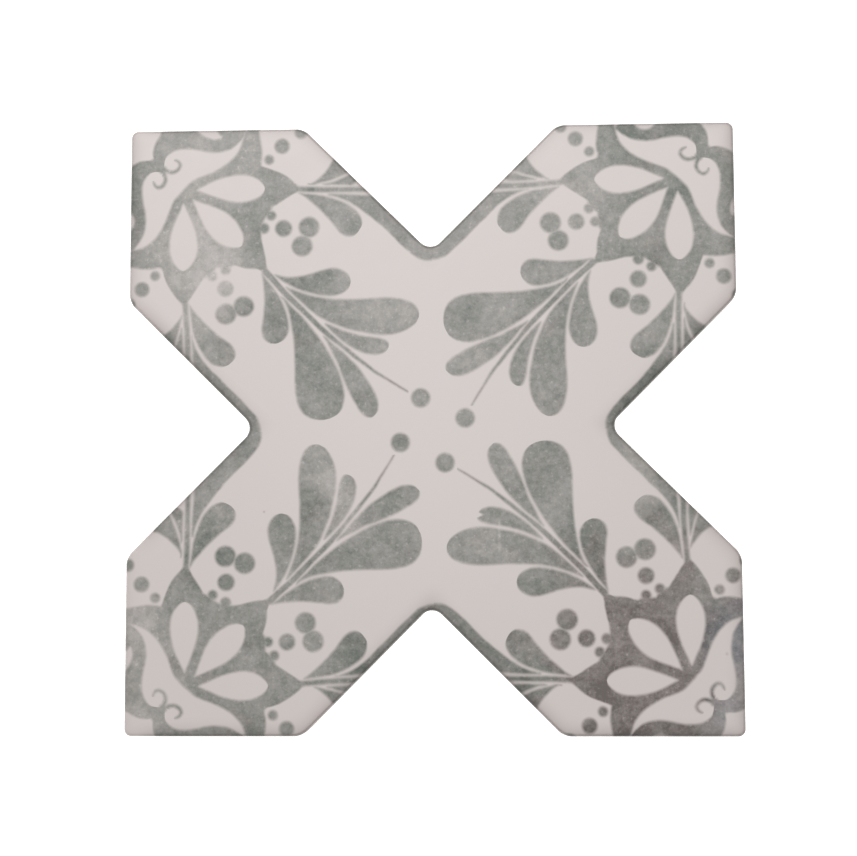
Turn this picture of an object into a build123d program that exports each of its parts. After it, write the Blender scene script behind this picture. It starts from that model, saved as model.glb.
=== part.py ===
"""A cross-shaped porcelain tile, the cross of a star-and-cross floor, pressed and fired in one piece.

Millimetres. The origin is the centre of the back face, +Z points out of the glazed face, and X and Y run
along the flats at the ends of the arms. Seen from above, the tile is a square with a V notch in the middle
of each side, so its four arms point at the square's corners.
"""

import os
from math import ceil, radians, tan

from build123d import *

# Outline of the tile, as sharp corners before they are rounded
tile_side = 132.5  # across opposite flats, the same both ways
notch_width = 55.8  # mouth of each notch, where it meets the side
notch_angle = 90.0  # degrees between the two flanks of a notch, which take the point of a star tile

# Rounding of the outline's corners
corner_radius = 1.6  # right-angled point of each arm
shoulder_radius = 4.0  # where a flat turns into a notch flank
notch_root_radius = 3.0  # bottom of each notch

# Section of the tile
tile_thickness = 9.0  # back face to glazed face
arris_radius = 0.8  # rounded edge all round the glazed face
back_bevel = 0.8  # bevel all round the back face

# Keyed back: square recesses that the bedding adhesive grips, between ribs that carry the tile
key_pitch = 12.0  # from one recess to the next
key_rib = 3.0  # flat rib left between two recesses
key_depth = 0.8  # from the back face to the floor of a recess
key_draft = 35.0  # degrees that a recess's walls lean, so that the tile leaves its die
key_rim = 5.0  # width of the plain rim between the recesses and the tile's outline
key_scrap = 0.3  # share of a full square below which a trimmed recess is left out


def tile_outline():
    """The square with a V notch in each side, and every corner rounded to its own radius."""
    half_side = tile_side / 2
    half_mouth = notch_width / 2
    notch_depth = half_mouth / tan(radians(notch_angle / 2))
    quarter = (
        (half_side - notch_depth, 0, notch_root_radius),
        (half_side, half_mouth, shoulder_radius),
        (half_side, half_side, corner_radius),
        (half_mouth, half_side, shoulder_radius),
    )
    corners = [Vector(x, y).rotate(Axis.Z, 90 * turn) for turn in range(4) for x, y, radius in quarter]
    radii = [radius for x, y, radius in quarter] * 4
    return make_face(FilletPolyline(*corners, radius=radii, close=True))


def recesses(outline):
    """The plugs that cut the keyed back: a grid of squares, trimmed to leave the plain rim whole.

    A rib crosses the tile's centre. A square that the rim trims to a scrap is left uncut.
    """
    mouth = key_pitch - key_rib
    across = 2 * ceil(tile_side / 2 / key_pitch)
    field = offset(outline, -key_rim)
    grid = Sketch() + GridLocations(key_pitch, key_pitch, across, across) * Rectangle(mouth, mouth)
    mouths = [face for face in (field & grid).faces() if face.area > key_scrap * mouth**2]
    return [extrude(face, key_depth, dir=(0, 0, 1), taper=key_draft) for face in mouths]


def cross_tile():
    """The pressed tile: outline, thickness, rounded arris, bevelled back edge and keyed back."""
    outline = tile_outline()
    tile = extrude(outline, tile_thickness)
    tile = fillet(tile.faces().sort_by(Axis.Z)[-1].edges(), arris_radius)
    tile = chamfer(tile.faces().sort_by(Axis.Z)[0].edges(), back_bevel)
    return tile - recesses(outline)


os.makedirs("parts", exist_ok=True)
export_step(cross_tile(), "parts/cross_tile.step")
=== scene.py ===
"""A cross-shaped porcelain tile with a grey ornament printed under its satin glaze, on a pale studio floor.

The tile lies on its keyed back. Its outline and its sizes are those of the CAD part, in the same frame.
The ornament is drawn once, in millimetres, as the quarter at the tile's upper left: "left" and "up" are
measured from the print's centre, and the quarter is turned round that centre for the other three arms.
"""

from math import atan2, cos, degrees, dist, hypot, radians, sin, tan

import bmesh
import bpy
from mathutils import Matrix, Vector


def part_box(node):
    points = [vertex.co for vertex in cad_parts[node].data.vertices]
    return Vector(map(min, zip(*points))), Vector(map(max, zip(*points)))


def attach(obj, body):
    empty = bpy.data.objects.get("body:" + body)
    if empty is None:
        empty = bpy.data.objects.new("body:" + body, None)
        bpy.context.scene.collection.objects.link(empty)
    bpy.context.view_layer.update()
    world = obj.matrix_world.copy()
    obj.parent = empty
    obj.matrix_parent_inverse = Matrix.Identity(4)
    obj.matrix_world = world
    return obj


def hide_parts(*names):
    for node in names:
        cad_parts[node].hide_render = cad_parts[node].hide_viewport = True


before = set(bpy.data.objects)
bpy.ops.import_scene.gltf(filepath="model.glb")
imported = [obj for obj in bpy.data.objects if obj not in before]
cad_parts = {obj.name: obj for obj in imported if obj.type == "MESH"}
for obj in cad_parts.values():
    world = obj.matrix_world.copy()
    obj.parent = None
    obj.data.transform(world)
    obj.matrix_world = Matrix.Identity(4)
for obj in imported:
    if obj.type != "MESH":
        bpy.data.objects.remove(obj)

mm = 0.001
scene = bpy.context.scene
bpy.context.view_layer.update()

# Sizes of the tile in millimetres, the same as those of its solid
tile_low, tile_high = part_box("cross_tile")
tile_side = (tile_high.x - tile_low.x) / mm
tile_thickness = (tile_high.z - tile_low.z) / mm
notch_width = 55.8
corner_radius = 1.6
shoulder_radius = 4.0
notch_root_radius = 3.0
arris_radius = 0.8
back_bevel = 0.8
key_pitch = 12.0
key_rib = 3.0
key_depth = 0.8
key_draft = 35.0
key_rim = 5.0
key_scrap = 0.3

half_side = tile_side / 2
notch_root = half_side - notch_width / 2

# How far the outline bends at its corners, in degrees, and how many edges make each of its roundings
root_bend = 90
shoulder_bend = 45
corner_bend = 90
root_steps = 10
shoulder_steps = 8
corner_steps = 10
field_root_steps = 8
arris_steps = 6

sharp_from = 25  # degrees between two faces that meet in a sharp edge
cut_tolerance = 1e-7  # metres within which a cut counts as passing through a corner


# The pressed tile

def cross_corners(bm, side, root):
    """The sixteen sharp corners of a flat cross, whose flats and notch roots lie so far out in mm."""
    shoulder = side - root
    one_arm = ((root, 0), (side, shoulder), (side, side), (shoulder, side))
    corners = []
    for turn in range(4):
        turned = Matrix.Rotation(radians(90 * turn), 3, "Z")
        corners += [bm.verts.new(turned @ Vector((x, y, 0)) * mm) for x, y in one_arm]
    return corners


def round_corners(bm, corners, radius, bend, segments):
    """Rounds corners of a flat outline to a radius in mm, where the outline bends by so many degrees."""
    reach = radius * tan(radians(bend / 2)) * mm
    bmesh.ops.bevel(
        bm, geom=corners, offset=reach, offset_type="ABSOLUTE", affect="VERTICES",
        segments=segments, profile=0.5, material=-1,
    )


def large_face(bm, facing):
    """The tile's one large flat face that looks up, with facing 1, or down, with facing -1."""
    return max(bm.faces, key=lambda face: facing * face.normal.z * face.calc_area())


def key_the_back(bm):
    """Presses the grid of drafted recesses into the back, trimmed to leave the plain rim whole."""
    back = large_face(bm, -1)
    outer_ring = list(back.edges)
    bmesh.ops.delete(bm, geom=[back], context="FACES_ONLY")
    body_faces = set(bm.faces)
    field_corners = cross_corners(bm, half_side - key_rim, notch_root - key_rim * 2**0.5)
    bm.faces.new(reversed(field_corners))
    round_corners(bm, field_corners[0::4], notch_root_radius + key_rim, root_bend, field_root_steps)

    def field():
        return [face for face in bm.faces if face not in body_faces]

    mouth = key_pitch - key_rib
    squares = int(half_side // key_pitch) + 1
    starts = [key_pitch * n + key_rib / 2 for n in range(-squares, squares)]
    for across in (Vector((1, 0, 0)), Vector((0, 1, 0))):
        for cut in starts + [start + mouth for start in starts]:
            faces = field()
            edges = {edge for face in faces for edge in face.edges}
            corners = {corner for face in faces for corner in face.verts}
            bmesh.ops.bisect_plane(
                bm, geom=[*faces, *edges, *corners], dist=cut_tolerance,
                plane_co=across * cut * mm, plane_no=across,
            )
    inner_ring = [edge for face in field() for edge in face.edges if len(edge.link_faces) == 1]

    def in_a_mouth(face):
        middle = face.calc_center_median() / mm
        clear = [abs(place % key_pitch - key_pitch / 2) < mouth / 2 for place in middle.xy]
        return all(clear) and face.calc_area() > key_scrap * (mouth * mm) ** 2

    mouths = [face for face in field() if in_a_mouth(face)]
    bmesh.ops.triangle_fill(bm, edges=outer_ring + inner_ring, use_beauty=True)
    bmesh.ops.recalc_face_normals(bm, faces=bm.faces)
    draft = key_depth * tan(radians(key_draft))
    bmesh.ops.inset_individual(
        bm, faces=mouths, thickness=draft * mm, depth=-key_depth * mm, use_even_offset=True,
    )


def lay_out_map(bm):
    """Lays the tile out flat: its glazed face large, its walls as four strips over it, its back small."""
    layer = bm.loops.layers.uv.new("OFBake")
    face_share = 0.8
    strip = 0.047
    strip_fill = 0.85
    gap = 0.01
    wall_lean = 0.3
    for face in bm.faces:
        middle = face.calc_center_median()
        heading = degrees(atan2(middle.y, middle.x)) % 360
        arm = int(heading // 90)
        for loop in face.loops:
            place = loop.vert.co / mm
            if abs(face.normal.z) < wall_lean:
                beside = (degrees(atan2(place.y, place.x)) - heading + 180) % 360 - 180
                along = (heading + beside - 90 * arm) / 90
                across = arm + strip_fill * place.z / tile_thickness
                loop[layer].uv = (along * (1 - gap) + gap / 2, face_share + gap / 2 + across * strip)
            else:
                corner, share = (0, face_share) if face.normal.z > 0 else (face_share, 1 - face_share)
                flat = (place.xy / tile_side + Vector((0.5, 0.5))) * (share - gap)
                loop[layer].uv = (corner + gap / 2 + flat.x, gap / 2 + flat.y)


def pressed_tile():
    """Outline, thickness, rounded arris, bevelled back edge and keyed back."""
    bm = bmesh.new()
    corners = cross_corners(bm, half_side, notch_root)
    bm.faces.new(corners)
    round_corners(bm, corners[0::4], notch_root_radius, root_bend, root_steps)
    round_corners(bm, corners[1::4] + corners[3::4], shoulder_radius, shoulder_bend, shoulder_steps)
    round_corners(bm, corners[2::4], corner_radius, corner_bend, corner_steps)
    raised = bmesh.ops.extrude_face_region(bm, geom=list(bm.faces))["geom"]
    lifted = [part for part in raised if isinstance(part, bmesh.types.BMVert)]
    bmesh.ops.translate(bm, vec=(0, 0, tile_thickness * mm), verts=lifted)
    bmesh.ops.recalc_face_normals(bm, faces=bm.faces)
    bmesh.ops.bevel(
        bm, geom=list(large_face(bm, 1).edges), offset=arris_radius * mm, affect="EDGES",
        segments=arris_steps, profile=0.5, material=-1,
    )
    bmesh.ops.bevel(
        bm, geom=list(large_face(bm, -1).edges), offset=back_bevel * mm, affect="EDGES",
        segments=1, profile=0.5, material=-1,
    )
    key_the_back(bm)
    bmesh.ops.recalc_face_normals(bm, faces=bm.faces)
    lay_out_map(bm)
    for face in bm.faces:
        face.smooth = True
    mesh = bpy.data.meshes.new("glazed_tile")
    bm.to_mesh(mesh)
    bm.free()
    mesh.set_sharp_from_angle(angle=radians(sharp_from))
    return mesh


tile = bpy.data.objects.new("glazed_tile", pressed_tile())
scene.collection.objects.link(tile)
even_faces = tile.modifiers.new("even_faces", "WEIGHTED_NORMAL")
even_faces.keep_sharp = True
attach(tile, "root")
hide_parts("cross_tile")


# Tools for drawing in the tile's material, where every length is in millimetres

ink_run = 0.6  # ink this close to other ink runs together a little

# Headings in degrees along an arm, towards the print's centre and towards the arm's point
to_centre = 225
to_point = 45

# A leaf's two edges meet at its base and tip, and have crossed over by these widths a short run past them
base_run = 1.0
base_cross = 1.2
tip_run = 0.12
tip_cross = 0.8

# Past each end of a curl its half width drops to this, within a few degrees
curl_end_turn = 8
curl_end_half_width = -1.5

porcelain = bpy.data.materials.new("printed_porcelain")
porcelain.use_nodes = True
nodes = porcelain.node_tree.nodes
links = porcelain.node_tree.links
nodes.clear()


def paint(red, green, blue):
    """A colour as seen on a screen, 0 to 255, in the renderer's own measure."""
    shares = [value / 255 for value in (red, green, blue)]
    measure = [share / 12.92 if share < 0.04045 else ((share + 0.055) / 1.055) ** 2.4 for share in shares]
    return (*measure, 1)


def feed(socket, value):
    """Links one node's output to a socket, or sets a plain value on it."""
    if isinstance(value, bpy.types.NodeSocket):
        links.new(value, socket)
    else:
        socket.default_value = value


def calc(operation, *values):
    """One step of arithmetic."""
    node = nodes.new("ShaderNodeMath")
    node.operation = operation
    for socket, value in zip(node.inputs, values):
        feed(socket, value)
    return node.outputs[0]


def either(*depths):
    """Depth inside any of the shapes: the deepest of theirs, a little more in narrow gaps between them."""
    whole = depths[0]
    for depth in depths[1:]:
        whole = calc("SMOOTH_MAX", whole, depth, ink_run)
    return whole


def within(*depths):
    """Depth inside all of the limits at once: the least of theirs, a little less where two meet."""
    whole = depths[0]
    for depth in depths[1:]:
        whole = calc("SMOOTH_MIN", whole, depth, ink_run)
    return whole


def short_of(limit, value):
    """How far a value falls short of its limit."""
    return calc("SUBTRACT", limit, value)


def measured(value, start, end, low=0.0, high=1.0):
    """A value's smooth rise from low at start to high at end."""
    node = nodes.new("ShaderNodeMapRange")
    node.interpolation_type = "SMOOTHSTEP"
    feed(node.inputs["Value"], value)
    feed(node.inputs["From Min"], start)
    feed(node.inputs["From Max"], end)
    feed(node.inputs["To Min"], low)
    feed(node.inputs["To Max"], high)
    return node.outputs[0]


def split(place):
    """The two measures of a place on the face, and its height."""
    node = nodes.new("ShaderNodeSeparateXYZ")
    links.new(place, node.inputs[0])
    return node.outputs


def placed(place, centre, heading=0.0, scale=1.0):
    """A place measured from a centre, with the first axis turned to a heading in degrees."""
    node = nodes.new("ShaderNodeMapping")
    node.vector_type = "TEXTURE"
    links.new(place, node.inputs["Vector"])
    node.inputs["Location"].default_value = (centre[0], centre[1], 0)
    node.inputs["Rotation"].default_value = (0, 0, radians(heading))
    node.inputs["Scale"].default_value = (scale, scale, scale)
    return node.outputs[0]


def grain(place, size, detail=2.0, roughness=0.5):
    """Cloudy variation whose patches are about so many millimetres across."""
    node = nodes.new("ShaderNodeTexNoise")
    links.new(place, node.inputs["Vector"])
    node.inputs["Scale"].default_value = 1 / size
    node.inputs["Detail"].default_value = detail
    node.inputs["Roughness"].default_value = roughness
    return node.outputs


def blend(amount, under, over, kind="MIX"):
    """One colour laid over another."""
    node = nodes.new("ShaderNodeMix")
    node.data_type = "RGBA"
    node.blend_type = kind
    under_socket, over_socket = [socket for socket in node.inputs if socket.type == "RGBA"]
    feed(node.inputs[0], amount)
    feed(under_socket, under)
    feed(over_socket, over)
    return next(socket for socket in node.outputs if socket.type == "RGBA")


def drawn_edge(points, along):
    """A drawn edge: how far across it lies at each place along it."""
    node = nodes.new("ShaderNodeFloatCurve")
    node.mapping.use_clip = False
    node.mapping.extend = "HORIZONTAL"
    curve = node.mapping.curves[0]
    points = sorted(points)
    curve.points[0].location = points[0]
    curve.points[1].location = points[-1]
    for point in points[1:-1]:
        curve.points.new(*point)
    for point in curve.points:
        point.handle_type = "AUTO_CLAMPED"
    node.mapping.update()
    links.new(along, node.inputs["Value"])
    return node.outputs[0]


def from_base(point, base, heading):
    """A drawn point, measured along and across a heading in degrees from its base."""
    right, up = point[0] - base[0], point[1] - base[1]
    along = Vector((cos(radians(heading)), sin(radians(heading))))
    return right * along.x + up * along.y, up * along.x - right * along.y


def round_centre(point, centre, heading):
    """A drawn point as its bearing in degrees from a heading, and its distance from the centre."""
    ahead, aside = from_base(point, centre, heading)
    return degrees(atan2(aside, ahead)), hypot(ahead, aside)


def bearing(place, centre, heading):
    """Bearing in degrees from a heading, and distance, of every place round a centre."""
    ahead, aside, _ = split(placed(place, centre, heading))
    angle = calc("DEGREES", calc("ARCTAN2", aside, ahead))
    return angle, calc("SQRT", calc("MULTIPLY_ADD", ahead, ahead, calc("MULTIPLY", aside, aside)))


def leaf(base, tip, one_side, other_side):
    """Depth inside a leaf or petal: two drawn edges that meet at its base and at its tip."""
    heading = degrees(atan2(tip[1] - base[1], tip[0] - base[0]))
    length = dist(base, tip)
    sides = [[from_base(point, base, heading) for point in side] for side in (one_side, other_side)]
    lower, upper = sorted(sides, key=lambda side: sum(across for along, across in side))
    ahead, aside, _ = split(placed(quarter, base, heading))
    closed = [(0, 0), (length, 0)]
    past_tip = length + tip_run
    upper_edge = drawn_edge([(-base_run, -base_cross), *closed, *upper, (past_tip, -tip_cross)], ahead)
    lower_edge = drawn_edge([(-base_run, base_cross), *closed, *lower, (past_tip, tip_cross)], ahead)
    return within(short_of(upper_edge, aside), short_of(aside, lower_edge))


def ribbon(along, across, start, outer, inner):
    """Depth inside a ribbon between two drawn edges, from its start to where the tile cuts it off."""
    inside_outer = short_of(drawn_edge(outer, along), across)
    inside_inner = short_of(across, drawn_edge(inner, along))
    return within(inside_outer, inside_inner, short_of(start, along))


def curl(centre, line):
    """Depth inside a curled stroke: places on its line round a centre, each with its half width."""
    spots = [(*round_centre(spot, centre, to_centre), spot[2]) for spot in line]
    onward = 1 if spots[-1][0] > spots[0][0] else -1
    first_end = spots[0][0] - curl_end_turn * onward
    last_end = spots[-1][0] + curl_end_turn * onward
    ends = [(first_end, curl_end_half_width), (last_end, curl_end_half_width)]
    angle, reach = bearing(quarter, centre, to_centre)
    middle = drawn_edge([(turn, far) for turn, far, half in spots], angle)
    half_width = drawn_edge([(turn, half) for turn, far, half in spots] + ends, angle)
    return short_of(half_width, calc("ABSOLUTE", short_of(middle, reach)))


def dot(left, up, radius):
    """Depth inside a round dot."""
    node = nodes.new("ShaderNodeVectorMath")
    node.operation = "DISTANCE"
    links.new(quarter, node.inputs[0])
    node.inputs[1].default_value = (left, up, 0)
    return short_of(radius, node.outputs["Value"])


# Where the print lies on the tile, slightly off its centre, and how one quarter serves four arms

print_centre = (0.365 * mm, -0.845 * mm)
print_turn = 0.137  # degrees
print_scale = 0.9973
edge_waver = 0.12  # over which the drawn edges waver
waver_size = 1.2  # from one waver to the next

coordinates = nodes.new("ShaderNodeTexCoord")
on_tile = placed(coordinates.outputs["Object"], (0, 0), scale=mm)
on_print = placed(coordinates.outputs["Object"], print_centre, print_turn, print_scale * mm)

waver = nodes.new("ShaderNodeVectorMath")
waver.operation = "MULTIPLY_ADD"
links.new(grain(on_print, waver_size)[1], waver.inputs[0])
waver.inputs[1].default_value = (edge_waver, edge_waver, 0)
shifted = nodes.new("ShaderNodeVectorMath")
shifted.operation = "ADD"
shifted.inputs[1].default_value = (-edge_waver / 2, -edge_waver / 2, 0)
links.new(on_print, shifted.inputs[0])
links.new(shifted.outputs[0], waver.inputs[2])

print_x, print_y, _ = split(waver.outputs[0])
width_off, height_off = calc("ABSOLUTE", print_x), calc("ABSOLUTE", print_y)
swapped = calc("GREATER_THAN", calc("MULTIPLY", print_x, print_y), 0.0)
difference = calc("MULTIPLY", swapped, short_of(height_off, width_off))
left = calc("ADD", width_off, difference)
up = calc("SUBTRACT", height_off, difference)
quarter_place = nodes.new("ShaderNodeCombineXYZ")
links.new(left, quarter_place.inputs[0])
links.new(up, quarter_place.inputs[1])
quarter = quarter_place.outputs[0]


# Rosette on the arm's point: a lobed body with three bare petals, and a bare wing on each side behind it

rosette_root = (54.3, 54.3)

body_edge = [
    (38.3, 68), (37.9, 65.5), (37.5, 63.2), (37.4, 61.2), (37.55, 59.8), (37.6, 59.1), (37.1, 58.8),
    (36, 58.4), (34.5, 57.85), (33, 57.2), (31.6, 56.3), (30.4, 55.2), (29.6, 54.5), (29.2, 53.7),
    (29.9, 52.93), (31, 52.3), (32, 51.64), (33, 51), (34.2, 50.25), (35, 49.8), (35.35, 49.2),
    (35.9, 48.2), (36.6, 47.3), (37.1, 46.5), (37.35, 45), (37.55, 43.7), (37.4, 42), (37.1, 40.8),
    (36.8, 39.5), (36.55, 38.2), (36.45, 37), (36.3, 36.3), (36.6, 35.9), (37.7, 35.7), (38.3, 35.97),
    (40, 36.1), (41.5, 36.3), (42.5, 36.6), (43.2, 36.83), (43.8, 36.85), (44.2, 36.6), (46.9, 36.4),
    (47.4, 36.35), (47.8, 35.8), (49.55, 34.4), (50.08, 34.2), (50.6, 33.57), (51.1, 32.8),
    (52.07, 31.3), (53, 29.85), (53.6, 29.1), (54.1, 28.3), (54.9, 28.4), (55.3, 28.75), (56, 29.5),
    (57, 30.85), (58, 32.45), (58.7, 33.85), (59.05, 35), (59.35, 36), (59.8, 36.5), (60.3, 36.6),
    (61, 36.4), (62.5, 36.25), (64, 36.35), (65.2, 36.55), (68, 37),
]
wing_front = [
    (41, 67.5), (41.3, 66), (41.6, 65), (41.95, 63.75), (42.33, 62.73), (42.93, 61.72), (43.93, 60.57),
    (44.93, 59.67), (45.93, 59), (46.93, 58.4), (47.93, 57.86), (48.93, 57.4), (49.93, 57.05),
    (50.92, 56.72), (51.9, 56.3), (52.88, 55.74), (53.87, 54.85), (55.05, 53.6), (55.87, 52.61),
    (56.38, 52.06), (56.9, 51.35), (57.42, 50.13), (58.15, 48.25), (58.97, 46.22), (60, 44.35),
    (61, 43), (62, 42.05), (63, 41.35), (64, 40.9), (65, 40.6), (66, 40.4), (68, 40.1),
]
wing_top = [
    (41.2, 65.5), (41.6, 65.4), (41.9, 65.1), (42.2, 64.75), (42.5, 64.4), (43, 63.95), (44, 63.15),
    (45, 62.75), (46, 62.45), (47, 62.3), (48, 62.25), (49, 62.35), (50, 62.5), (51, 62.75),
    (52, 62.95), (53, 63.1), (54, 63.15), (55, 63.15), (56, 63), (57, 62.7), (58, 62.1), (58.7, 61.4),
    (59.05, 60.6), (59.2, 59.5), (59.3, 58), (59.6, 40),
]
wing_side = [
    (40.2, 65.6), (40.6, 65.7), (41, 65.55), (41.4, 65.25), (42, 64.75), (42.8, 64.3), (43.5, 63.9),
    (44.3, 63.6), (45.2, 63.4), (46, 63.3), (47, 63.2), (48, 63.25), (49.3, 63.4), (50.5, 63.7),
    (51.5, 63.85), (52.5, 64), (53.5, 64.1), (54.5, 64.05), (55.5, 63.9), (56.4, 63.5), (57.2, 62.9),
    (57.9, 62), (58.12, 60.9), (58.2, 58.9), (58.3, 20),
]
scallops = [
    (43.5, 70), (52.5, 69.5), (57, 69.5), (59.2, 68), (60.2, 66), (60.7, 65.2), (61.2, 64.2),
    (61.5, 63.2), (61.65, 62), (61.6, 60.9), (62.2, 60.6), (63, 60.6), (64, 60.5), (65, 60.2),
    (66, 59.6), (68, 57.5), (69.5, 54), (69.5, 44),
]
upper_half_moon = leaf(
    (46.15, 65.65), (52.2, 67.6),
    [(46.5, 65.35), (47, 65.2), (47.7, 65.08), (48.3, 65.1), (49, 65.3), (50, 65.7), (50.7, 66.15),
     (51.3, 66.6), (51.8, 67.1)],
    [(46.4, 65.95), (46.8, 66.3), (47.1, 66.7), (47.5, 67.2), (48, 68), (50, 68.5)],
)
lower_half_moon = dot(68.2, 46.9, 2.6)
upper_petal = leaf(
    (51.9, 53.8), (36.7, 53.8),
    [(51, 54.32), (50, 54.85), (48.5, 55.6), (47, 56.2), (45, 56.75), (43, 57.05), (42, 57.1),
     (41, 57.03), (40, 56.87), (39, 56.5), (38, 55.82), (37.25, 55.1), (36.8, 54.4)],
    [(51, 53.37), (49.5, 52.75), (48, 52.2), (46.5, 51.7), (45, 51.22), (44, 51), (42.5, 50.83),
     (41, 50.93), (40, 51.15), (39, 51.5), (38, 52), (37.4, 52.5), (36.9, 53.15)],
)
middle_petal = leaf(
    (52.75, 51.75), (41.82, 41.12),
    [(52, 51.44), (51, 51.1), (49.5, 50.55), (48, 50), (46.5, 49.36), (45, 48.48), (44, 47.63),
     (42.92, 46.47), (42.2, 45.25), (41.65, 44.13), (41.4, 43), (41.45, 42.2)],
    [(52.52, 51), (52.15, 50), (51.55, 48.5), (50.95, 47.2), (50, 45.25), (49, 43.8), (48, 42.7),
     (47, 41.9), (46, 41.3), (45, 40.95), (44, 40.75), (43, 40.75), (42.3, 40.85)],
)
lower_petal = leaf(
    (54.75, 50.85), (54.7, 35.7),
    [(54.3, 50.1), (54, 49.3), (53.5, 48.2), (53, 47.1), (52.4, 45.6), (51.9, 43.9), (51.6, 42.3),
     (51.5, 41), (51.6, 40), (51.95, 38.6), (52.5, 37.55), (53.2, 36.65), (54, 36)],
    [(55.1, 50.3), (55.5, 49.35), (56, 48.2), (56.5, 47.15), (57, 45.95), (57.4, 44.6), (57.7, 43.1),
     (57.85, 41.6), (57.8, 40.2), (57.5, 38.9), (57, 37.75), (56.3, 36.7), (55.5, 36)],
)
ahead, aside, _ = split(placed(quarter, rosette_root, to_centre))
front_points = [from_base(point, rosette_root, to_centre) for point in wing_front]
before_wing = short_of(ahead, drawn_edge([(across, along) for along, across in front_points], aside))
angle, reach = bearing(quarter, rosette_root, to_centre)
lobe_edge = drawn_edge([round_centre(point, rosette_root, to_centre) for point in body_edge], angle)
body = within(short_of(lobe_edge, reach), before_wing)
for petal in (upper_petal, middle_petal, lower_petal):
    body = within(body, calc("MULTIPLY", petal, -1.0))

angle, reach = bearing(quarter, rosette_root, to_point)
scallop_edge = drawn_edge([round_centre(point, rosette_root, to_point) for point in scallops], angle)
bare_wing = either(short_of(drawn_edge(wing_top, left), up), short_of(drawn_edge(wing_side, up), left))
scallop_band = short_of(scallop_edge, reach)
for bare in (before_wing, bare_wing, upper_half_moon, lower_half_moon):
    scallop_band = within(scallop_band, calc("MULTIPLY", bare, -1.0))
upper_curl = curl((57.2, 59.3), [
    (58.9, 58.4, 0.42), (58.3, 58.1, 0.36), (57.8, 57.95, 0.33), (57.3, 57.9, 0.31),
    (56.7, 58.05, 0.28), (56.15, 58.4, 0.26), (55.78, 58.9, 0.26), (55.6, 59.4, 0.26),
    (55.75, 59.95, 0.22), (56.2, 60.4, 0.14), (56.7, 60.6, 0.04), (57, 60.65, -0.15),
])
lower_curl = curl((60.3, 56.1), [
    (59.3, 57.6, 0.42), (59, 57.2, 0.36), (58.87, 56.6, 0.32), (58.87, 56, 0.32), (59.1, 55.4, 0.32),
    (59.55, 54.85, 0.32), (60.25, 54.52, 0.29), (60.85, 54.7, 0.25), (61.25, 55.15, 0.18),
    (61.48, 55.7, 0.05), (61.55, 56.05, -0.15),
])
curl_knot = dot(59.4, 58.45, 0.8)
rosette = either(body, scallop_band, upper_curl, lower_curl, curl_knot)


# Spray of six leaves on a stem that runs to the print's centre

upper_short_leaf = leaf(
    (34.4, 34.5), (17.78, 32.85),
    [(33, 34.2), (32, 34), (30.5, 33.95), (29, 34.1), (27.5, 34.4), (26, 34.8), (25, 35.1), (24, 35.4),
     (23, 35.65), (22, 35.8), (21, 35.78), (20, 35.5), (19, 34.98), (18.4, 34.4), (18, 33.8)],
    [(33.5, 33.77), (33, 33.4), (32, 32.78), (31, 32.19), (30, 31.7), (29, 31.26), (28, 30.87),
     (27, 30.6), (26, 30.35), (25, 30.1), (24, 29.95), (22.5, 29.8), (21.5, 29.85), (20.4, 30.1),
     (19.3, 30.6), (18.5, 31.2), (17.95, 32)],
)
upper_long_leaf = leaf(
    (31.9, 31.7), (2.88, 24.8),
    [(31, 31.4), (30, 31.02), (29, 30.64), (28, 30.29), (26.5, 29.84), (25, 29.49), (23.5, 29.24),
     (22, 29.04), (20, 28.93), (17, 28.9), (15, 28.93), (12, 29.1), (10, 29.15), (8, 29), (6.5, 28.7),
     (5.2, 28.25), (4.2, 27.75), (3.5, 27.1), (3.05, 26.4), (2.84, 25.5)],
    [(31, 30.77), (30, 29.77), (29, 28.87), (28, 27.92), (27, 27.02), (26, 26.22), (25, 25.43),
     (24, 24.85), (23, 24.32), (21, 23.45), (19, 22.65), (17, 22.1), (15, 21.7), (13, 21.3),
     (11, 21.1), (9.5, 21.1), (8, 21.3), (6.5, 21.75), (5.3, 22.3), (4.35, 22.92), (3.57, 23.57),
     (3.17, 24.2)],
)
upper_last_leaf = leaf(
    (23.4, 23.6), (9.55, 18.2),
    [(22.5, 23.3), (22, 23.1), (21, 22.65), (20, 22.2), (19, 21.85), (18, 21.5), (17, 21.25),
     (16, 20.95), (15, 20.75), (14, 20.6), (13, 20.45), (12, 20.3), (11.2, 20.1), (10.4, 19.8),
     (9.85, 19.45), (9.5, 18.95)],
    [(23, 23.1), (22, 22), (21, 21.05), (20, 20.15), (19, 19.4), (18, 18.7), (17, 18.1), (16, 17.6),
     (15, 17.2), (14, 16.95), (13, 16.8), (12, 16.75), (11.2, 16.92), (10.55, 17.15), (10.05, 17.5),
     (9.75, 17.85)],
)
lower_short_leaf = leaf(
    (37.1, 34.6), (34.2, 19.35),
    [(37.05, 33.8), (36.95, 33), (36.8, 31.5), (36.7, 30), (36.65, 28.5), (36.75, 27), (36.9, 25.5),
     (37.05, 24), (37.2, 23), (37.2, 22), (37.05, 21.2), (36.65, 20.4), (36, 19.8), (35.3, 19.45)],
    [(36.6, 33.9), (36, 33.15), (35.3, 32.25), (34.8, 31.55), (34.2, 30.65), (33.7, 29.9),
     (33.3, 29.15), (32.8, 28.15), (32.35, 27.1), (32, 26.1), (31.75, 25.1), (31.55, 24.1),
     (31.45, 23.2), (31.5, 22.2), (31.8, 21.3), (32.3, 20.5), (33, 19.85), (33.7, 19.5)],
)
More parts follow.
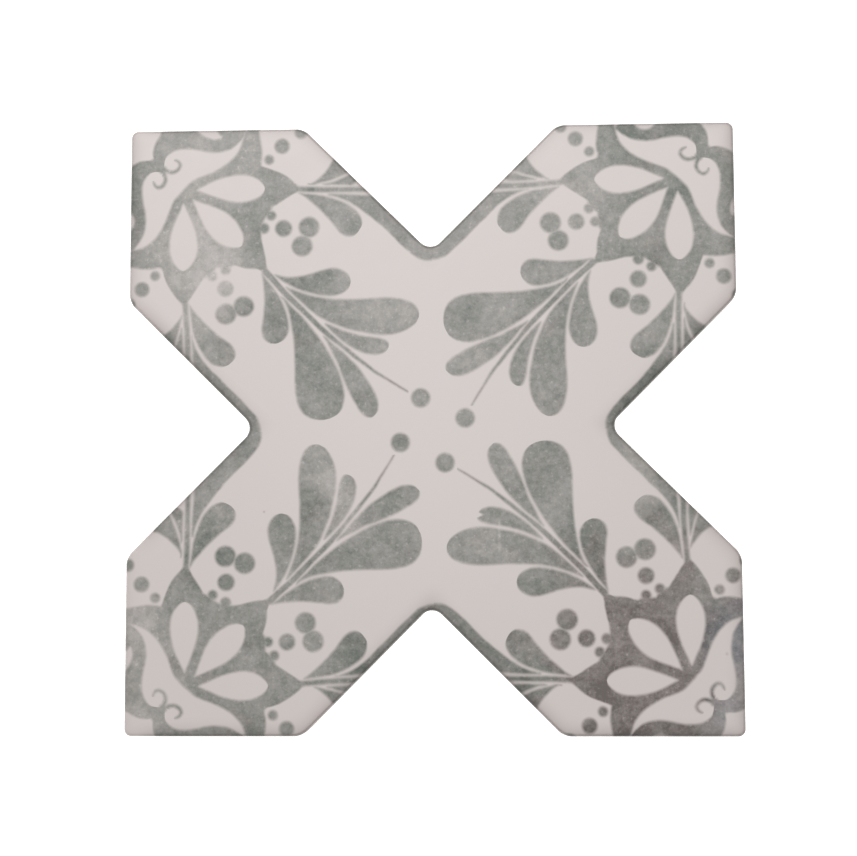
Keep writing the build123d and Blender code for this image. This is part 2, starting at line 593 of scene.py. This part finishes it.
lower_long_leaf = leaf(
    (32.95, 29.6), (22.3, 2.8),
    [(32.4, 28.9), (32, 28.1), (31.6, 27.2), (31.3, 26.3), (31, 25), (30.75, 23.5), (30.5, 22),
     (30.3, 20.5), (30.15, 19), (30.05, 17), (30, 15), (29.95, 13), (29.95, 11), (29.85, 9),
     (29.6, 7.5), (29.2, 5.8), (28.5, 4.5), (27.5, 3.48), (26.3, 2.85), (25, 2.56), (23.5, 2.54)],
    [(32.4, 29.3), (31.5, 28.3), (31, 27.75), (30, 26.7), (29, 25.75), (28, 24.6), (27, 23.4),
     (26, 22.1), (25, 20.8), (24.5, 20.1), (24, 19.4), (23.5, 18.6), (23, 17.8), (22.5, 16.95),
     (22, 16.1), (21.5, 15.1), (21, 14.1), (20.5, 13), (20.1, 11.9), (19.7, 10.5), (19.4, 9.2),
     (19.25, 8), (19.3, 7), (19.5, 6), (19.9, 4.8), (20.5, 3.95), (21.4, 3.2)],
)
lower_last_leaf = leaf(
    (23.6, 20.75), (13.1, 2.95),
    [(22.9, 19.6), (22.4, 18.6), (22, 17.6), (21.5, 16.6), (20.7, 15.2), (20.3, 14.2), (20, 13.1),
     (19.5, 11.8), (19, 10.6), (18.5, 9.45), (18, 8.35), (17.5, 7.35), (17, 6.5), (16.5, 5.7),
     (16, 4.75), (15.5, 4.1), (15, 3.55), (14.3, 3.1), (13.7, 2.95)],
    [(22, 19.3), (21, 18.5), (20, 17.7), (19, 16.75), (18, 15.75), (17, 14.75), (16, 13.6),
     (15.05, 12.25), (14.06, 10.75), (13.36, 9.6), (12.66, 8.3), (12.16, 7.1), (11.91, 6), (11.91, 5),
     (12.1, 4.13), (12.62, 3.4)],
)
stem_line = [
    (37.2, 35.85), (36, 34.75), (34, 32.5), (32, 30.25), (30, 28.3), (28, 26.35), (26, 24.3),
    (24, 22.35), (22, 20.57), (20, 18.92), (18, 17.28), (17, 16.42), (16, 15.67), (14, 14.1),
    (12.5, 12.93), (11, 11.97), (10, 11.37), (9, 10.72), (8, 10.08), (7, 9.46), (6, 8.86), (5.2, 8.42),
]
stem_half_width = [
    (37.2, 1.0), (35, 0.95), (33, 0.93), (31, 0.85), (28, 0.75), (25, 0.73), (22, 0.65), (20, 0.5),
    (18, 0.52), (16, 0.45), (14, 0.38), (12.5, 0.32), (11, 0.25), (10, 0.2), (8, 0.16), (6, 0.11),
    (5.3, 0.05), (5, -1.5),
]
off_stem = calc("ABSOLUTE", short_of(drawn_edge(stem_line, left), up))
stem = within(short_of(drawn_edge(stem_half_width, left), off_stem), short_of(stem_line[0][0], left))
stem_bud = dot(2.6, 7.05, 2.0)
spray = either(
    upper_short_leaf, upper_long_leaf, upper_last_leaf,
    lower_short_leaf, lower_long_leaf, lower_last_leaf, stem, stem_bud,
)


# Sprig beside the rosette, cut off by the notch in the tile's upper side

upper_stalk = ribbon(
    left, up, 30,
    [(30, 54.25), (28, 54.13), (25, 54), (22, 53.95), (19, 53.87), (16, 53.8), (13, 53.75)],
    [(30, 53.1), (28, 53.05), (25, 52.93), (22, 52.88), (19, 52.88), (13, 52.88)],
)
upper_outer_blade = leaf(
    (27, 54.75), (17.5, 61),
    [(26.5, 54.75), (26, 54.95), (25.5, 55.25), (25, 55.65), (24.5, 56.1), (24, 56.6), (23.5, 57.1),
     (23, 57.7), (22.5, 58.4), (22.1, 59.1), (21.7, 59.8), (21.2, 61)],
    [(26, 54.68), (25, 54.91), (24, 55.12), (23, 55.37), (22, 55.67), (21, 56.02), (20, 56.47),
     (19, 56.92), (17, 58.05)],
)
upper_inner_blade = leaf(
    (23.8, 54.7), (16, 57.5),
    [(23.2, 54.78), (22, 55), (21, 55.34), (20, 55.74), (19, 56.19), (18, 56.69)],
    [(23, 54.57), (22, 54.58), (20, 54.5), (18.5, 54.5), (17.5, 54.45)],
)
upper_drop_leaf = leaf(
    (29, 52.75), (16, 44),
    [(28, 52.15), (27, 51.3), (26, 50.45), (25, 49.55), (24, 48.55), (23, 47.45), (22, 46.3),
     (21.3, 45.4), (20.6, 44.5), (19.9, 43.75), (19.2, 43.3), (18.4, 43.04), (17.4, 43.02),
     (16.7, 43.33)],
    [(28, 52.6), (27, 52.45), (26, 52.35), (25, 52.2), (24, 52.05), (23, 51.8), (22, 51.5),
     (21, 51.12), (20, 50.77), (19, 50.32), (18, 49.77), (17.2, 49.1), (16.5, 48.45), (15.85, 47.55),
     (15.42, 46.55), (15.31, 45.6), (15.58, 44.75)],
)
upper_border = ribbon(
    left, up, 22.6,
    [(22, 52.42), (20, 52.36), (18, 52.26), (16.5, 52.14), (15, 51.99), (13, 51.94)],
    [(22, 52.15), (21, 51.85), (20, 51.5), (19, 51.1), (18, 50.6), (17, 49.95), (16, 49.3), (15, 48.5),
     (14, 47.75), (13, 47), (12, 46.1), (11, 45.3), (10, 44.35), (9, 43.35), (8, 42.3), (7, 41.2),
     (6, 40.3), (5, 39.4), (4, 38.6), (3, 37.95), (2, 37.55), (1, 37.4), (0, 37.4)],
)
upper_sprig = either(upper_stalk, upper_outer_blade, upper_inner_blade, upper_drop_leaf, upper_border)


# Sprig under the rosette, cut off by the notch in the tile's left side; its edges run upwards

lower_stalk = ribbon(
    up, left, 29,
    [(29, 54.9), (28, 54.75), (27, 54.65), (26, 54.6), (25, 54.5), (24, 54.45), (23, 54.35),
     (22, 54.3), (20, 54.25), (17, 54.2)],
    [(29, 53.75), (28, 53.65), (27, 53.6), (26, 53.55), (25, 53.45), (24, 53.35), (23, 53.3),
     (22, 53.25), (20, 53.1), (16, 53.05)],
)
lower_outer_blade = leaf(
    (55, 25.6), (60, 18),
    [(55.3, 25.1), (55.6, 24.7), (56, 24.2), (56.5, 23.6), (57, 23), (57.5, 22.5), (58, 22.1),
     (58.6, 21.7), (59.5, 21.2), (61, 20.5)],
    [(55.15, 25), (55.35, 24), (55.57, 23), (55.83, 22), (56.07, 21), (56.3, 20.25), (56.6, 19.3),
     (57.2, 18)],
)
lower_inner_blade = leaf(
    (55, 23), (55.6, 16),
    [(55.1, 22.6), (55.3, 21.8), (55.55, 21), (55.75, 20.3), (56, 19.5), (56.4, 18.5)],
    [(54.95, 22.3), (54.85, 21), (54.8, 20), (54.75, 19), (54.7, 18)],
)
lower_drop_leaf = leaf(
    (53.2, 27.9), (44.7, 14.75),
    [(52.7, 27.2), (52, 26.3), (51, 25.15), (50, 24.1), (49, 23.1), (48, 22.2), (47, 21.3), (46, 20.6),
     (45, 19.9), (44.2, 19.2), (43.6, 18.4), (43.25, 17.5), (43.22, 16.6), (43.55, 15.8),
     (44.12, 15.2)],
    [(53.1, 27), (53, 26), (52.86, 25), (52.71, 24), (52.56, 23), (52.35, 22), (52.04, 21),
     (51.65, 20), (51.25, 19.1), (50.8, 18.3), (50.3, 17.5), (49.7, 16.6), (49, 15.8), (48.2, 15.1),
     (47.4, 14.7), (46.5, 14.5), (45.3, 14.5)],
)
lower_border = ribbon(
    up, left, 21.2,
    [(20.5, 52.6), (19.5, 52.55), (18, 52.5), (16.5, 52.4), (14, 52.2)],
    [(20.6, 52.75), (20, 52.5), (19, 52.15), (18, 51.7), (17, 51.15), (16, 50.5), (15, 49.75),
     (14, 48.85), (13, 47.85), (12, 46.75), (11, 45.85), (10, 44.9), (9, 43.85), (8, 42.8), (7, 41.8),
     (6, 40.9), (5, 40), (4, 39.05), (3.2, 38.4), (2, 37.95), (1, 37.65), (0, 37.55)],
)
lower_sprig = either(lower_stalk, lower_outer_blade, lower_inner_blade, lower_drop_leaf, lower_border)


# Round berries between the leaves, knobs on the rosette's edge and dots that the tile's edge cuts

berries = either(
    dot(32.55, 44.9, 1.77), dot(26.95, 45.1, 2.2), dot(28.45, 40.9, 2.2),
    dot(45.4, 31.65, 1.7), dot(45.27, 26.03, 2.22), dot(41.32, 27.69, 2.18),
)
knobs = either(
    dot(35.3, 47.8, 1.0), dot(36.9, 45, 1.1), dot(45.35, 35.8, 1.0), dot(48.3, 34.45, 1.0),
)
edge_dots = either(
    dot(32.9, 63.35, 1.6), dot(35.8, 60.35, 1.0), dot(28.7, 66.4, 1.35),
    dot(63.85, 31.72, 1.55), dot(60.95, 34.7, 1.0), dot(66.6, 28.5, 1.2),
)
ornament = either(rosette, spray, upper_sprig, lower_sprig, berries, knobs, edge_dots)


# Finish: ink of uneven strength under the glaze, a darker line along the arris that is partly thinner glaze
# and partly painted shade, and bare porcelain below it

glaze_colour = paint(213, 204, 201)
# Glaze colour of the painted highlight towards the tile's middle
painted_highlight_glaze = paint(218, 209, 206)
green_ink = paint(103, 109, 101)
brown_ink = paint(106, 98, 94)
blue_ink = paint(98, 106, 117)
speck_colour = paint(140, 118, 104)
# Colour of the painted shade along the arris
rim_shade_colour = paint(178, 174, 172)
biscuit_colour = paint(202, 196, 187)
chalky_biscuit = paint(188, 182, 172)
ink_strength = 0.735
ink_edge = 0.5  # the ink fades out over this far on both sides of its edge
ink_spread = 0.07  # how far the ink's edge lies outside the drawn one
brown_share = 0.04  # of brown in the green ink
stem_end = (8.2, 10.2)  # where the ink is brown in every quarter
stem_end_radius = 4.5

# A light streak across two leaves of the lower right spray
streak_x = 14.2
streak_y = -22.8
streak_half_width = 0.55
streak_half_length = 3.9
streak_fade = 0.5
streak_loss = 0.13

# Light specks in the ink, where a cloudy grain passes a level
light_grain_size = 0.9
light_grain_start = 0.58
light_grain_full = 0.76
light_grain_loss = 0.2

# Painted light: the rim's shade is fainter near the tile's left side, which is lit more, and fainter still
# in the lower half
faint_rim_start = 2.0
faint_rim_end = 8.0
rim_change = 20.0
lower_left_rim = 0.3
upper_left_rim = 0.6

# Lower edge of the glaze on the walls, from bare to fully glazed, as heights over the back face
glaze_edge_low = 7.2
glaze_edge_high = 7.6

# Roughness of the glaze, what the ink adds to it, and that of the bare body
glaze_roughness = 0.36
ink_roughness = 0.05
bare_roughness = 0.75

flat_place = nodes.new("ShaderNodeCombineXYZ")
links.new(print_x, flat_place.inputs[0])
links.new(print_y, flat_place.inputs[1])


def patch(x, y, radius, amount):
    """A soft round patch on the print: an amount at its middle that fades to nothing at its radius."""
    node = nodes.new("ShaderNodeVectorMath")
    node.operation = "DISTANCE"
    links.new(flat_place.outputs[0], node.inputs[0])
    node.inputs[1].default_value = (x, y, 0)
    return measured(node.outputs["Value"], 0.0, radius, amount, 0.0)


def varied(place, size, amount, **grain_settings):
    """Cloudy variation about zero."""
    return calc("MULTIPLY", calc("SUBTRACT", grain(place, size, **grain_settings)[0], 0.5), amount)


def total(*amounts):
    """A sum."""
    whole = amounts[0]
    for amount in amounts[1:]:
        whole = calc("ADD", whole, amount)
    return whole


inked = measured(ornament, -ink_spread - ink_edge, -ink_spread + ink_edge)
upper_left_strength = total(
    patch(-53, 36, 17, -0.28), patch(-46, 35, 11, -0.22), patch(-52, 20, 12, -0.15),
    patch(-47, 57, 24, -0.16), patch(-65, 50, 11, 0.17), patch(-37, 46, 14, 0.1),
    patch(-22, 31, 10, 0.06), patch(-32, 20, 13, 0.15), patch(-11, 27, 18, -0.12),
    patch(0, 46, 28, -0.08), patch(-29, 33, 3.5, 0.2), patch(-27, 53.5, 3.5, 0.18),
    patch(-6, 43.5, 4, 0.2),
)
upper_right_strength = total(
    patch(58, 62, 20, 0.14), patch(64, 61, 8, -0.2), patch(44, 66, 8, 0.12), patch(54, 48, 12, 0.07),
    patch(49, 37, 9, 0.09), patch(28, 51, 16, -0.11), patch(27, 41, 6, 0.1), patch(16, 28, 8, -0.11),
    patch(47, 8, 13, 0.18), patch(45, -11, 9, -0.17), patch(26, 4, 9, -0.12), patch(5, 14, 9, -0.15),
    patch(7.5, 25, 4, 0.18), patch(42.5, 65, 4, 0.2),
)
lower_right_strength = total(
    patch(45, -48, 38, 0.16), patch(14, -50, 20, 0.05), patch(67, -56, 15, -0.18),
    patch(62, -67, 7, -0.1), patch(40, -62, 12, 0.14), patch(31, -44, 8, 0.13),
    patch(38, -36, 6, -0.09), patch(6, -26, 15, -0.08), patch(32, -22, 10, 0.12),
    patch(18, -37, 9, 0.13), patch(25, -6, 10, 0.08), patch(30, -15, 7, -0.1), patch(14, -6, 8, -0.1),
    patch(57.6, -57.4, 3.5, 0.2), patch(61, -62.5, 4, -0.1), patch(34.5, -56, 4.5, 0.18),
    patch(44, -50, 4, -0.2), patch(19, -52.5, 4, 0.16), patch(51, -64, 3.5, 0.16),
)
lower_left_strength = total(
    patch(-66, -42, 13, -0.28), patch(-66, -61, 14, -0.18), patch(-47, -29, 11, 0.24),
    patch(-16, -48, 10, 0.1), patch(-22, -5, 8, -0.1), patch(-19, -18, 8, -0.2),
    patch(-30, -16, 9, 0.15), patch(-11, -28, 10, 0.08), patch(-32, -37, 8, -0.1),
    patch(-50, -14, 4.5, -0.22), patch(-22, -10.5, 5, -0.2), patch(-57.5, -47, 4.5, -0.18),
    patch(-16, -50, 4, 0.18), patch(-37.5, -48, 3, -0.18),
)
worn_leaf_tip = total(patch(9.5, -18.35, 0.9, -1.3), patch(10.3, -18.35, 0.6, -0.6))
beside_streak = short_of(streak_half_width, calc("ABSOLUTE", short_of(print_x, streak_x)))
along_streak = short_of(streak_half_length, calc("ABSOLUTE", short_of(print_y, streak_y)))
light_streak = measured(within(beside_streak, along_streak), 0.0, streak_fade, 0.0, -streak_loss)
speckle = grain(on_print, light_grain_size)[0]
light_grains = measured(speckle, light_grain_start, light_grain_full, 0.0, -light_grain_loss)
ink_clouds = varied(on_print, 8, 0.5)
ink_grain = varied(on_print, 1.4, 0.68, detail=3.0, roughness=0.7)
strength = total(
    ink_strength, upper_left_strength, upper_right_strength, lower_right_strength, lower_left_strength,
    worn_leaf_tip, light_streak, light_grains, ink_clouds, ink_grain,
)
brown_stem_end = measured(dot(*stem_end, stem_end_radius), 0.0, stem_end_radius, 0.0, 1.2)
brown_clouds = varied(on_print, 6, 2.2, detail=3.0, roughness=0.6)
brownness = total(
    brown_share, patch(46, -50, 40, 1.3), patch(0, -54, 20, 0.4), brown_stem_end, brown_clouds,
)
ink_colour = blend(measured(brownness, 0.0, 1.0), green_ink, brown_ink)
blueness = total(patch(66, -46, 14, 0.7), patch(62, -61, 7, 0.5))
ink_colour = blend(blueness, ink_colour, blue_ink)
# Painted highlight: the glaze is made lighter towards the tile's middle
glaze = blend(patch(0, -6, 75, 1.0), glaze_colour, painted_highlight_glaze)
specks = total(
    patch(62.2, -48.3, 0.6, 0.25), patch(-36.7, -17.4, 0.45, 0.4), patch(-39.9, 38.4, 0.45, 0.4),
)
glaze = blend(specks, glaze, speck_colour)
surface = blend(calc("MULTIPLY", inked, strength), glaze, ink_colour)

tile_x, tile_y, tile_z = split(on_tile)
root_ease = 7.5  # rounds the notch roots
corner_ease = 2.4  # rounds the other corners of the outline
from_middle = calc("SMOOTH_MAX", tile_x, calc("MULTIPLY", tile_x, -1.0), root_ease)
from_waist = calc("SMOOTH_MAX", tile_y, calc("MULTIPLY", tile_y, -1.0), root_ease)
off_diagonal = calc("ABSOLUTE", short_of(from_middle, from_waist))
from_flank = calc("DIVIDE", short_of(notch_root, off_diagonal), 2**0.5)
from_side = short_of(half_side, from_middle)
from_end = short_of(half_side, from_waist)
from_flat = calc("SMOOTH_MIN", from_side, from_end, corner_ease)
from_rim = calc("SMOOTH_MIN", from_flat, from_flank, corner_ease)
# Painted shade along the arris, partly thinner glaze: darkest at the rim and gone about 4 mm in
rim_shade = drawn_edge([
    (0, 0.97), (0.3, 0.92), (0.45, 0.72), (0.62, 0.42), (0.85, 0.31), (1.1, 0.25), (1.5, 0.18),
    (2.2, 0.1), (3.2, 0.03), (4.2, 0),
], from_rim)
# Painted light: less of the rim's painted shade along the left side, which is lit more
left_lit_rim_share = measured(tile_y, -rim_change, rim_change, lower_left_rim, upper_left_rim)
from_left_side = calc("ADD", tile_x, half_side)
rim_share_by_left_light = measured(from_left_side, faint_rim_start, faint_rim_end, left_lit_rim_share, 1.0)
surface = blend(calc("MULTIPLY", rim_shade, rim_share_by_left_light), surface, rim_shade_colour, "MULTIPLY")

glazed = measured(total(tile_z, varied(on_tile, 3, 1.2)), glaze_edge_low, glaze_edge_high)
bare_body = blend(grain(on_tile, 1.5, detail=4.0)[0], biscuit_colour, chalky_biscuit)
surface = blend(glazed, bare_body, surface)
polish_clouds = varied(on_tile, 5, 0.12, detail=3.0)
glaze_polish = total(glaze_roughness, calc("MULTIPLY", inked, ink_roughness), polish_clouds)
polish = calc("MULTIPLY_ADD", glazed, calc("SUBTRACT", glaze_polish, bare_roughness), bare_roughness)
edge_fall = drawn_edge([(0, -0.3), (0.8, -0.167), (1.5, -0.09), (2.5, -0.03), (4, 0)], from_rim)
relief = nodes.new("ShaderNodeBump")
relief.inputs["Strength"].default_value = 1.0
relief.inputs["Distance"].default_value = mm
glaze_ripple = varied(on_tile, 2.2, 0.006)
links.new(total(edge_fall, glaze_ripple), relief.inputs["Height"])

shader = nodes.new("ShaderNodeBsdfPrincipled")
links.new(surface, shader.inputs["Base Color"])
links.new(polish, shader.inputs["Roughness"])
links.new(relief.outputs[0], shader.inputs["Normal"])
output = nodes.new("ShaderNodeOutputMaterial")
links.new(shader.outputs[0], output.inputs["Surface"])
tile.data.materials.append(porcelain)


# Floor, light and camera: the camera's place and lens are in millimetres, the other lengths in metres

white = (1, 1, 1, 1)
floor_half_side = 20
floor_colour = (0.9, 0.9, 0.9, 1)
floor_roughness = 0.9
floor_glow = 0.9
sky_strength = 0.5
soft_box_side = 0.6
soft_box_power = 4
soft_box_place = (-0.08, 0.45, 0.7)
sensor_width = 36
focal_length = 67.71
camera_place = (14.586, -31.662, 355.609)
camera_turn = (5.1458, 2.5219, -0.2269)

floor_mesh = bpy.data.meshes.new("studio_floor")
bm = bmesh.new()
bmesh.ops.create_grid(bm, x_segments=1, y_segments=1, size=floor_half_side)
bm.to_mesh(floor_mesh)
bm.free()
studio_floor = bpy.data.objects.new("studio_floor", floor_mesh)
scene.collection.objects.link(studio_floor)
paper = bpy.data.materials.new("floor_paper")
paper.use_nodes = True
paper_shader = paper.node_tree.nodes["Principled BSDF"]
paper_shader.inputs["Base Color"].default_value = floor_colour
paper_shader.inputs["Roughness"].default_value = floor_roughness
paper_shader.inputs["Emission Color"].default_value = white
paper_shader.inputs["Emission Strength"].default_value = floor_glow
floor_mesh.materials.append(paper)

world = bpy.data.worlds.new("studio")
scene.world = world
world.use_nodes = True
sky = world.node_tree.nodes["Background"]
sky.inputs["Color"].default_value = white
sky.inputs["Strength"].default_value = sky_strength

lamp = bpy.data.lights.new("soft_box", "AREA")
lamp.size = soft_box_side
lamp.energy = soft_box_power
soft_box = bpy.data.objects.new("soft_box", lamp)
soft_box.location = soft_box_place
soft_box.rotation_euler = (-soft_box.location).to_track_quat("-Z", "Y").to_euler()
scene.collection.objects.link(soft_box)

lens = bpy.data.cameras.new("camera")
lens.sensor_width = sensor_width
lens.lens = focal_length
camera = bpy.data.objects.new("camera", lens)
camera.location = [place * mm for place in camera_place]
camera.rotation_euler = [radians(turn) for turn in camera_turn]
scene.collection.objects.link(camera)
scene.camera = camera
scene.view_settings.view_transform = "Standard"
